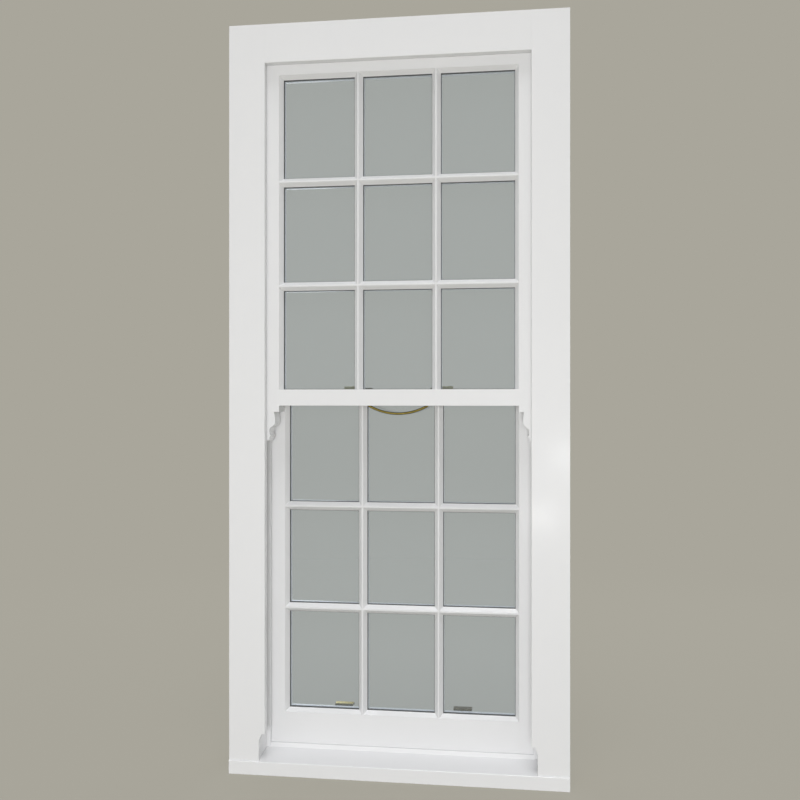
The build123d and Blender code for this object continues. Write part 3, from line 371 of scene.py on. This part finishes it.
def clear_glass():
    """Tinted clear glass that lets shadow rays through, so that it doesn't darken what lies behind it. Slow
    noise moves the tint between its two values."""
    material, nodes, links, shader = start_material("clear glass")
    place = nodes.new("ShaderNodeTexCoord")
    drift = noise(nodes, 3)
    tint = nodes.new("ShaderNodeMix")
    tint.data_type = "RGBA"
    tint.inputs["A"].default_value = (*glass_tint, 1)
    tint.inputs["B"].default_value = (*glass_tint_shifted, 1)
    shader.inputs["Roughness"].default_value = 0.0
    shader.inputs["IOR"].default_value = 1.5
    shader.inputs["Transmission Weight"].default_value = 0.976
    path = nodes.new("ShaderNodeLightPath")
    through = nodes.new("ShaderNodeBsdfTransparent")
    through.inputs["Color"].default_value = (*glass_shadow, 1)
    pick = nodes.new("ShaderNodeMath")
    pick.operation = "MAXIMUM"
    mix = nodes.new("ShaderNodeMixShader")
    links.new(place.outputs["Object"], drift.inputs["Vector"])
    links.new(drift.outputs["Fac"], tint.inputs["Factor"])
    links.new(tint.outputs["Result"], shader.inputs["Base Color"])
    links.new(path.outputs["Is Shadow Ray"], pick.inputs[0])
    links.new(path.outputs["Is Diffuse Ray"], pick.inputs[1])
    links.new(pick.outputs[0], mix.inputs["Fac"])
    links.new(shader.outputs["BSDF"], mix.inputs[1])
    links.new(through.outputs[0], mix.inputs[2])
    links.new(mix.outputs[0], nodes["Material Output"].inputs["Surface"])
    return material


finish_nodes(clear_glass(), "upper_glass", "lower_glass")

# Spacer bars: black foamed warm-edge bars that run round between the two panes of each unit and keep them
# apart. From outside they show as a thin dark line round the glass.
spacer_black, spacer_grey = (0.035, 0.038, 0.040), (0.060, 0.065, 0.068)


def black_spacer():
    """Satin black whose colour and gloss change with fine pores."""
    material, nodes, links, shader = start_material("black spacer")
    place = nodes.new("ShaderNodeTexCoord")
    pores = noise(nodes, 1500)
    colour = two_tones(nodes, spacer_black, spacer_grey)
    rough = spread(nodes, 0.35, 0.55)
    links.new(place.outputs["Object"], pores.inputs["Vector"])
    links.new(pores.outputs["Fac"], colour.inputs["Fac"])
    links.new(pores.outputs["Fac"], rough.inputs["Value"])
    links.new(colour.outputs["Color"], shader.inputs["Base Color"])
    links.new(rough.outputs["Result"], shader.inputs["Roughness"])
    return material


finish_nodes(black_spacer(), "upper_spacers", "lower_spacers")

# Brass fasteners, keeps and lifts: cast or bent from sheet, and screwed to the meeting rails and the bottom
# rail. Faces turned to one side carry a painted highlight and the rest painted shade, slow patches of tarnish
# dull them, and the right-hand fasteners and lifts are painted darker as shade.
# Bright brass serves as polished metal and as painted highlight; the dark and dull brass serve as tarnish and
# as painted shade.
bright_brass, shade_and_tarnish_brass, dull_shade_and_tarnish_brass = (0.80, 0.66, 0.20), (0.055, 0.043, 0.015), (0.36, 0.33, 0.15)
# Width either side of the middle over which the painted shade on the right-hand fittings sets in.
left_right_shade_blend = 0.05


def brass_highlight_group():
    """Group for brass that carries a painted highlight where its normal leans towards the lit side and
    painted shade elsewhere, with slow patches of tarnish, and fine rubbing marks drawn out along X."""
    group = bpy.data.node_groups.new("brass with painted highlight", "ShaderNodeTree")
    face = group.interface
    face.new_socket("Place", in_out="INPUT", socket_type="NodeSocketVector")
    face.new_socket("Normal", in_out="INPUT", socket_type="NodeSocketVector")
    face.new_socket("Lit Side", in_out="INPUT", socket_type="NodeSocketVector")
    face.new_socket("Lit From", in_out="INPUT", socket_type="NodeSocketFloat")
    face.new_socket("Lit Share", in_out="INPUT", socket_type="NodeSocketFloat")
    face.new_socket("Bright", in_out="INPUT", socket_type="NodeSocketColor")
    face.new_socket("Tarnished And Shaded", in_out="INPUT", socket_type="NodeSocketColor")
    face.new_socket("Colour", in_out="OUTPUT", socket_type="NodeSocketColor")
    face.new_socket("Roughness", in_out="OUTPUT", socket_type="NodeSocketFloat")
    face.new_socket("Height", in_out="OUTPUT", socket_type="NodeSocketFloat")
    nodes, links = group.nodes, group.links
    given = nodes.new("NodeGroupInput")
    made = nodes.new("NodeGroupOutput")
    lean = nodes.new("ShaderNodeVectorMath")
    lean.operation = "DOT_PRODUCT"
    # Painted highlight mask: rises from 0 to 1 as the normal leans towards the lit side; where it is 0,
    # painted shade shows.
    lit_mask = nodes.new("ShaderNodeMapRange")
    lit_mask.interpolation_type = "SMOOTHSTEP"
    patches = noise(nodes, 90, 5)
    spots = spread(nodes, 1.0, 0.55)
    spots.inputs["From Min"].default_value = 0.35
    spots.inputs["From Max"].default_value = 0.75
    share = nodes.new("ShaderNodeMath")
    share.operation = "MULTIPLY"
    lit_amount = nodes.new("ShaderNodeMath")
    lit_amount.operation = "MULTIPLY"
    tone = nodes.new("ShaderNodeMix")
    tone.data_type = "RGBA"
    stretch = nodes.new("ShaderNodeMapping")
    stretch.inputs["Scale"].default_value = (0.1, 1, 1)
    rubs = noise(nodes, 1800, 3)
    rough = spread(nodes, 0.42, 0.16)
    links.new(given.outputs["Normal"], lean.inputs[0])
    links.new(given.outputs["Lit Side"], lean.inputs[1])
    links.new(lean.outputs["Value"], lit_mask.inputs["Value"])
    links.new(given.outputs["Lit From"], lit_mask.inputs["From Min"])
    links.new(given.outputs["Place"], patches.inputs["Vector"])
    links.new(given.outputs["Place"], stretch.inputs["Vector"])
    links.new(stretch.outputs["Vector"], rubs.inputs["Vector"])
    links.new(patches.outputs["Fac"], spots.inputs["Value"])
    links.new(lit_mask.outputs["Result"], share.inputs[0])
    links.new(spots.outputs["Result"], share.inputs[1])
    links.new(share.outputs[0], lit_amount.inputs[0])
    links.new(given.outputs["Lit Share"], lit_amount.inputs[1])
    links.new(lit_amount.outputs[0], tone.inputs["Factor"])
    links.new(given.outputs["Tarnished And Shaded"], tone.inputs["A"])
    links.new(given.outputs["Bright"], tone.inputs["B"])
    links.new(tone.outputs["Result"], made.inputs["Colour"])
    links.new(lit_amount.outputs[0], rough.inputs["Value"])
    links.new(rough.outputs["Result"], made.inputs["Roughness"])
    links.new(rubs.outputs["Fac"], made.inputs["Height"])
    return group


painted_highlight_brass = brass_highlight_group()


def brass(name, bright, tarnish_and_shade, side, start, right_lit_share=1.0):
    """Brass with a painted highlight where its normal's dot product with side passes start, and painted shade
    with tarnish elsewhere. A share under 1 for the right hand paints the right-hand fittings darker as shade."""
    material, nodes, links, shader = start_material(name)
    shader.inputs["Metallic"].default_value = 1.0
    place = nodes.new("ShaderNodeTexCoord")
    highlight_and_tarnish = nodes.new("ShaderNodeGroup")
    highlight_and_tarnish.node_tree = painted_highlight_brass
    highlight_and_tarnish.inputs["Lit Side"].default_value = side
    highlight_and_tarnish.inputs["Lit From"].default_value = start
    highlight_and_tarnish.inputs["Bright"].default_value = (*bright, 1)
    highlight_and_tarnish.inputs["Tarnished And Shaded"].default_value = (*tarnish_and_shade, 1)
    # Painted shade: fittings right of the middle show less of the bright colour, as set by the right hand's
    # share.
    across = nodes.new("ShaderNodeSeparateXYZ")
    use = spread(nodes, 1.0, right_lit_share)
    use.inputs["From Min"].default_value = -left_right_shade_blend
    use.inputs["From Max"].default_value = left_right_shade_blend
    bump = relief(nodes, 0.15, 0.0001)
    links.new(place.outputs["Object"], across.inputs["Vector"])
    links.new(across.outputs["X"], use.inputs["Value"])
    links.new(use.outputs["Result"], highlight_and_tarnish.inputs["Lit Share"])
    links.new(place.outputs["Object"], highlight_and_tarnish.inputs["Place"])
    links.new(place.outputs["Normal"], highlight_and_tarnish.inputs["Normal"])
    links.new(highlight_and_tarnish.outputs["Colour"], shader.inputs["Base Color"])
    links.new(highlight_and_tarnish.outputs["Roughness"], shader.inputs["Roughness"])
    links.new(highlight_and_tarnish.outputs["Height"], bump.inputs["Height"])
    links.new(bump.outputs["Normal"], shader.inputs["Normal"])
    return material


# Fasteners and lifts: painted highlight on faces turned inwards and up, painted shade on the rest, and the
# right-hand ones painted darker.
inside_and_up = (0, 0.5, 1.0)
finish_nodes(
    brass("brass, painted highlight inside and up", bright_brass, shade_and_tarnish_brass, side=inside_and_up, start=0.5, right_lit_share=0.08),
    "fastener_bases", "fastener_arm_left", "fastener_arm_right", "sash_lifts",
)
# Keeps: painted highlight on faces turned inwards and up, painted shade with tarnish on the rest.
finish_nodes(brass("brass, keeps", bright_brass, dull_shade_and_tarnish_brass, side=(0, 1.1, 1.0), start=0.1), "fastener_keeps")

# Bow handle under the upper sash's meeting rail, for pulling the sash down: a brass bar bent to a bow with
# flattened feet, screwed up into the rail. Its front faces carry a painted highlight and the rest painted
# shade.
finish_nodes(
    brass("brass, painted highlight in front", bright_brass, shade_and_tarnish_brass, side=(0, -1.0, 0), start=0.72), "bow_handle",
)

# Axle pulleys: brass cases let into the pulley stiles and screwed through their face plates. A grooved brass
# wheel turns in each on a pressed-in axle. Faces turned towards +X, +Y and +Z are painted lighter and those
# turned away painted darker as shade, over slow patches of tarnish.
pulley_brass, pulley_tarnish_and_shade = (0.62, 0.46, 0.14), (0.3, 0.21, 0.06)
finish_nodes(
    brass("brass, pulleys", pulley_brass, pulley_tarnish_and_shade, side=(1.0, 1.0, 1.0), start=-1.0),
    "frame_screws", "pulley_cases", "pulley_axles", "upper_left_wheel", "upper_right_wheel",
    "lower_left_wheel", "lower_right_wheel",
)

# Brass screws of the fittings: countersunk and slotted, turned from bar and driven flush by hand, so that
# each slot has stopped at its own angle. Two hold every foot, base, keep and lift.
head_radius, shank_radius, tip_radius = 0.0036, 0.0019, 0.0002
rim_depth, countersink_depth, screw_length, tip_length = 0.0003, 0.002, 0.018, 0.003
slot_half_width, slot_depth = 0.00045, 0.0011
screw_shade = (0.34, 0.25, 0.08)


def slotted_screw(place, outward, slot_turn):
    """Vertices and faces of one screw. Across the head, lines of constant s run parallel to the slot: a point
    is (s, t * sqrt(1 - s * s)) times the head's radius, sunk by the slot's depth where s lies in the slot.
    Rings below carry the rim down the countersink and the shank to the tip. The screw is then turned about
    its axis by slot_turn, pointed outward and moved to its place."""
    columns, rows, ring_points = 9, 13, 32
    w = slot_half_width / head_radius
    rise = np.linspace(0, np.arccos(w), columns)
    s = np.concatenate([-np.cos(rise), [-w * 0.98, 0, w * 0.98], np.cos(rise[::-1])])
    t = np.linspace(-1, 1, rows)
    a, b = np.meshgrid(s, t, indexing="ij")
    sunk = np.where(np.abs(a) < w * 0.99, slot_depth, 0.0)
    head = np.stack([a, b * np.sqrt(np.maximum(1 - a * a, 0)), -sunk / head_radius], -1) * head_radius
    turn = np.linspace(0, 2 * np.pi, ring_points, endpoint=False)
    radii = np.array([head_radius, head_radius * 0.98, shank_radius, shank_radius, tip_radius])[:, None]
    depths = np.array([0.0, rim_depth, countersink_depth, screw_length - tip_length, screw_length])[:, None]
    rings = np.stack([radii * np.cos(turn), radii * np.sin(turn), -depths + 0 * turn], -1)
    points = np.concatenate([head.reshape(-1, 3), rings.reshape(-1, 3)])
    i, j = np.meshgrid(np.arange(len(s) - 1), np.arange(rows - 1), indexing="ij")
    first = (i * rows + j).ravel()
    top = np.stack([first, first + rows, first + rows + 1, first + 1], -1)
    i, j = np.meshgrid(np.arange(len(radii) - 1), np.arange(ring_points), indexing="ij")
    ring = a.size + i * ring_points + j
    after = a.size + i * ring_points + (j + 1) % ring_points
    side = np.stack([ring, ring + ring_points, after + ring_points, after], -1).reshape(-1, 4)
    z = np.array(outward, float)
    x = np.cross(z, (0.31, 0.53, 0.79))
    x /= np.linalg.norm(x)
    y = np.cross(z, x)
    x, y = np.cos(slot_turn) * x + np.sin(slot_turn) * y, np.cos(slot_turn) * y - np.sin(slot_turn) * x
    return points @ np.stack([x, y, z]) + np.array(place), np.concatenate([top, side])


def join_screws(name, surfaces, material):
    """One object from several (points, faces) pairs, with its doubles merged and its degenerate edges
    dissolved."""
    counts = np.cumsum([0] + [len(p) for p, _ in surfaces])
    points = np.concatenate([p for p, _ in surfaces])
    faces = np.concatenate([f + n for (_, f), n in zip(surfaces, counts)])
    mesh = bpy.data.meshes.new(name)
    mesh.from_pydata(points.tolist(), [], faces.tolist())
    work = bmesh.new()
    work.from_mesh(mesh)
    bmesh.ops.remove_doubles(work, verts=work.verts, dist=1e-6)
    bmesh.ops.dissolve_degenerate(work, edges=work.edges, dist=1e-7)
    work.to_mesh(mesh)
    work.free()
    mesh.materials.append(material)
    piece = bpy.data.objects.new(name, mesh)
    bpy.context.scene.collection.objects.link(piece)
    return piece


# Screws: painted highlight on faces turned towards +X, inwards and up, painted shade with tarnish on the
# rest.
screw_brass = brass("brass, screws", bright_brass, screw_shade, side=(0.6, 0.8, 0.8), start=0.0)
up, down, inward = (0, 0, 1), (0, 0, -1), (0, 1, 0)
both = [(hand, end) for hand in (-1, 1) for end in (-1, 1)]

# On the upper sash, screws go up through the handle's feet and down through the keeps.
handle_foot, handle_screw_gap = 0.0945, 0.010
keep_middle, keep_screw_gap, keep_screw_inset, keep_thickness = 0.1325, 0.018, 0.005, 0.0018
rail_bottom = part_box("upper_meeting_rail")[0].z
handle_middle = sum(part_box("bow_handle")[i].y for i in (0, 1)) / 2
keep_low, keep_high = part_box("fastener_keeps")
keep_y, keep_face = keep_high.y - keep_screw_inset, keep_low.z + keep_thickness
spots = [((h * handle_foot, handle_middle + e * handle_screw_gap / 2, rail_bottom), down) for h, e in both]
spots += [((h * keep_middle + e * keep_screw_gap / 2, keep_y, keep_face), up) for h, e in both]
driven = [slotted_screw(*spot, 0.4 + 2.1 * i) for i, spot in enumerate(spots)]
upper_screws = join_screws("upper_slotted_screws", driven, screw_brass)
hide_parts("upper_brass_screws")
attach(upper_screws, "upper_sash")

# On the lower sash, they go down through the fasteners' bases and outwards through the lifts' plates.
base_middle, base_screw_gap, base_thickness = 0.118, 0.064, 0.002
lift_middle, lift_screw_gap, lift_screw_height, lift_thickness = 0.165, 0.032, 0.011, 0.003
base_low, base_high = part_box("fastener_bases")
base_y, base_face = (base_low.y + base_high.y) / 2, base_low.z + base_thickness
lift_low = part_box("sash_lifts")[0]
lift_face, lift_z = lift_low.y + lift_thickness, lift_low.z + lift_screw_height
spots = [((h * base_middle + e * base_screw_gap / 2, base_y, base_face), up) for h, e in both]
spots += [((h * lift_middle + e * lift_screw_gap / 2, lift_face, lift_z), inward) for h, e in both]
driven = [slotted_screw(*spot, 1.1 + 1.7 * i) for i, spot in enumerate(spots)]
lower_screws = join_screws("lower_slotted_screws", driven, screw_brass)
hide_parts("lower_brass_screws")
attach(lower_screws, "lower_sash")

# Sash weights: bars of iron cast in sand, left black and rough, with a bored neck for the cord's knot. Each
# hangs in its weight box and balances half of its sash.
iron_skin, iron_rust = (0.045, 0.045, 0.048), (0.12, 0.055, 0.028)


def cast_iron():
    """Dark grey iron: fine noise pits its skin, and slow noise turns it to rust in patches."""
    material, nodes, links, shader = start_material("sand-cast iron")
    shader.inputs["Metallic"].default_value = 0.6
    place = nodes.new("ShaderNodeTexCoord")
    sand, rust = noise(nodes, 420, 6), noise(nodes, 26, 8)
    colour = two_tones(nodes, iron_skin, iron_rust, 0.48, 0.72)
    rough = spread(nodes, 0.5, 0.85)
    bump = relief(nodes, 0.6, 0.0008)
    links.new(place.outputs["Object"], sand.inputs["Vector"])
    links.new(place.outputs["Object"], rust.inputs["Vector"])
    links.new(rust.outputs["Fac"], colour.inputs["Fac"])
    links.new(rust.outputs["Fac"], rough.inputs["Value"])
    links.new(sand.outputs["Fac"], bump.inputs["Height"])
    links.new(colour.outputs["Color"], shader.inputs["Base Color"])
    links.new(rough.outputs["Result"], shader.inputs["Roughness"])
    links.new(bump.outputs["Normal"], shader.inputs["Normal"])
    return material


finish_nodes(
    cast_iron(), "upper_left_weight", "upper_right_weight", "lower_left_weight", "lower_right_weight",
)

# Sash cords: braided waxed cotton, 6 mm thick, tied off in a knot in each sash stile and each weight's neck.
# The run to the sash and the run to the weight hang straight down from the wheel, and the turn over the
# wheel stays with the frame.
cord_radius, turn_radius, knot_radius = 0.003, 0.025, 0.0065
knot_below_sash_top, knot_inset, knot_below_weight_top = 0.3274, 0.0029, 0.0317
cotton_shadow, cotton_light = (0.36, 0.33, 0.26), (0.74, 0.70, 0.60)
strands_round, strand_pitch = 6.0, 2.6


def braided_cotton():
    """Cotton braid drawn from the cord's own map: u goes once round it and v counts its diameters. Two sets
    of strands, each a zigzag wave of u times the strands plus or minus v times the pitch, wind round it in
    opposite turns, and the higher of the two shows."""
    material, nodes, links, shader = start_material("braided cotton")
    shader.inputs["Roughness"].default_value = 0.85
    shader.inputs["Specular IOR Level"].default_value = 0.2
    shader.inputs["Sheen Weight"].default_value = 0.3
    mapped = nodes.new("ShaderNodeUVMap")
    mapped.uv_map = "braid"
    split = nodes.new("ShaderNodeSeparateXYZ")
    links.new(mapped.outputs["UV"], split.inputs[0])
    strands = []
    for turn in (1.0, -1.0):
        wound = nodes.new("ShaderNodeMath")
        wound.operation = "MULTIPLY"
        wound.inputs[1].default_value = strand_pitch * turn
        phase = nodes.new("ShaderNodeMath")
        phase.operation = "MULTIPLY_ADD"
        phase.inputs[1].default_value = strands_round
        wave = nodes.new("ShaderNodeMath")
        wave.operation = "PINGPONG"
        wave.inputs[1].default_value = 0.5
        links.new(split.outputs["Y"], wound.inputs[0])
        links.new(split.outputs["X"], phase.inputs[0])
        links.new(wound.outputs[0], phase.inputs[2])
        links.new(phase.outputs[0], wave.inputs[0])
        strands.append(wave)
    over = nodes.new("ShaderNodeMath")
    over.operation = "MAXIMUM"
    colour = two_tones(nodes, cotton_shadow, cotton_light, 0.12, 0.42)
    bump = relief(nodes, 0.8, 0.0008)
    links.new(strands[0].outputs[0], over.inputs[0])
    links.new(strands[1].outputs[0], over.inputs[1])
    links.new(over.outputs[0], colour.inputs["Fac"])
    links.new(over.outputs[0], bump.inputs["Height"])
    links.new(colour.outputs["Color"], shader.inputs["Base Color"])
    links.new(bump.outputs["Normal"], shader.inputs["Normal"])
    return material


cotton = braided_cotton()


def swept_cotton(name, middles, radii, side, body=None):
    """A closed surface carried along the points middles, which lie in a plane across side. Each ring is the
    middle plus the local radius times (cos a * side + sin a * normal), and u, v run round and along it."""
    middles, radii, side = np.array(middles, float), np.array(radii, float), np.array(side, float)
    ahead = np.gradient(middles, axis=0)
    ahead /= np.linalg.norm(ahead, axis=1)[:, None]
    normal = np.cross(ahead, side)
    turn = np.linspace(0, 2 * np.pi, 20, endpoint=False)
    rings = middles[:, None] + radii[:, None, None] * (
        np.cos(turn)[None, :, None] * side + np.sin(turn)[None, :, None] * normal[:, None]
    )
    n, m = len(middles), len(turn)
    points = np.concatenate([rings.reshape(-1, 3), middles[[0, -1]]])
    i, j = np.meshgrid(np.arange(n - 1), np.arange(m), indexing="ij")
    near, far = i * m + j, i * m + (j + 1) % m
    walls = np.stack([near, far, far + m, near + m], -1).reshape(-1, 4)
    k = np.arange(m)
    low = np.stack([(k + 1) % m, k, np.full(m, n * m)], -1)
    high = np.stack([(n - 1) * m + k, (n - 1) * m + (k + 1) % m, np.full(m, n * m + 1)], -1)
    mesh = bpy.data.meshes.new(name)
    mesh.from_pydata(points.tolist(), [], walls.tolist() + low.tolist() + high.tolist())
    steps = np.linalg.norm(np.diff(middles, axis=0), axis=1)
    run = np.concatenate([[0], np.cumsum(steps)]) / (2 * cord_radius)
    u = np.stack([j / m, (j + 1) / m, (j + 1) / m, j / m], -1)
    v = np.stack([run[i], run[i], run[i + 1], run[i + 1]], -1)
    marks = np.zeros((len(walls) * 4 + 6 * m, 2))
    marks[: len(walls) * 4] = np.stack([u, v], -1).reshape(-1, 2)
    mesh.uv_layers.new(name="braid").data.foreach_set("uv", marks.ravel())
    mesh.shade_smooth()
    mesh.materials.append(cotton)
    piece = bpy.data.objects.new(name, mesh)
    bpy.context.scene.collection.objects.link(piece)
    if body:
        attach(piece, body)
    return piece


def knot(name, centre, body):
    """A knot: the cord's own surface swollen to the knot's radius, with three lobes where its turns cross."""
    h = np.linspace(-1, 1, 25)
    lobes = 1 - 0.09 * np.abs(np.sin(1.5 * np.pi * (h + 1)))
    radii = knot_radius * np.sqrt(np.maximum(1 - h * h, 0.02)) * lobes
    middles = np.array(centre) + np.stack([np.zeros_like(h), np.zeros_like(h), h * knot_radius], -1)
    return swept_cotton(name, middles, radii, (0, 1, 0), body)


along_y = (0, 1, 0)
for sash in ("upper", "lower"):
    for hand, way in (("left", -1), ("right", 1)):
        low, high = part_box(f"{sash}_{hand}_cord")
        wheel_low, wheel_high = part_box(f"{sash}_{hand}_wheel")
        y = (low.y + high.y) / 2
        wheel_x, wheel_z = (wheel_low.x + wheel_high.x) / 2, (wheel_low.z + wheel_high.z) / 2
        sash_x, weight_x = wheel_x - way * turn_radius, wheel_x + way * turn_radius
        sash_knot_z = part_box(f"{sash}_stile_{hand}")[1].z - knot_below_sash_top
        weight_knot_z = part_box(f"{sash}_{hand}_weight")[1].z - knot_below_weight_top
        runs = (
            ("sash", sash_x, sash_knot_z, f"{sash}_sash"),
            ("weight", weight_x, weight_knot_z, f"{sash}_{hand}_weight"),
        )
        for end, x, foot, body in runs:
            z = np.linspace(wheel_z, foot, 160)
            line = np.stack([np.full_like(z, x), np.full_like(z, y), z], -1)
            run = swept_cotton(f"{sash}_{hand}_cord_to_{end}", line, np.full_like(z, cord_radius), along_y)
            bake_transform(run)
        a = np.linspace(0, np.pi, 49)
        over = np.stack([
            wheel_x - way * turn_radius * np.cos(a), np.full_like(a, y), wheel_z + turn_radius * np.sin(a),
        ], -1)
        wrap = swept_cotton(
            f"{sash}_{hand}_cord_over_wheel", over, np.full_like(a, cord_radius), along_y, "frame",
        )
        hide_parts(f"{sash}_{hand}_cord")
        knot(f"{sash}_{hand}_sash_knot", (sash_x - way * knot_inset, y, sash_knot_z), f"{sash}_sash")
        knot(f"{sash}_{hand}_weight_knot", (weight_x, y, weight_knot_z), f"{sash}_{hand}_weight")
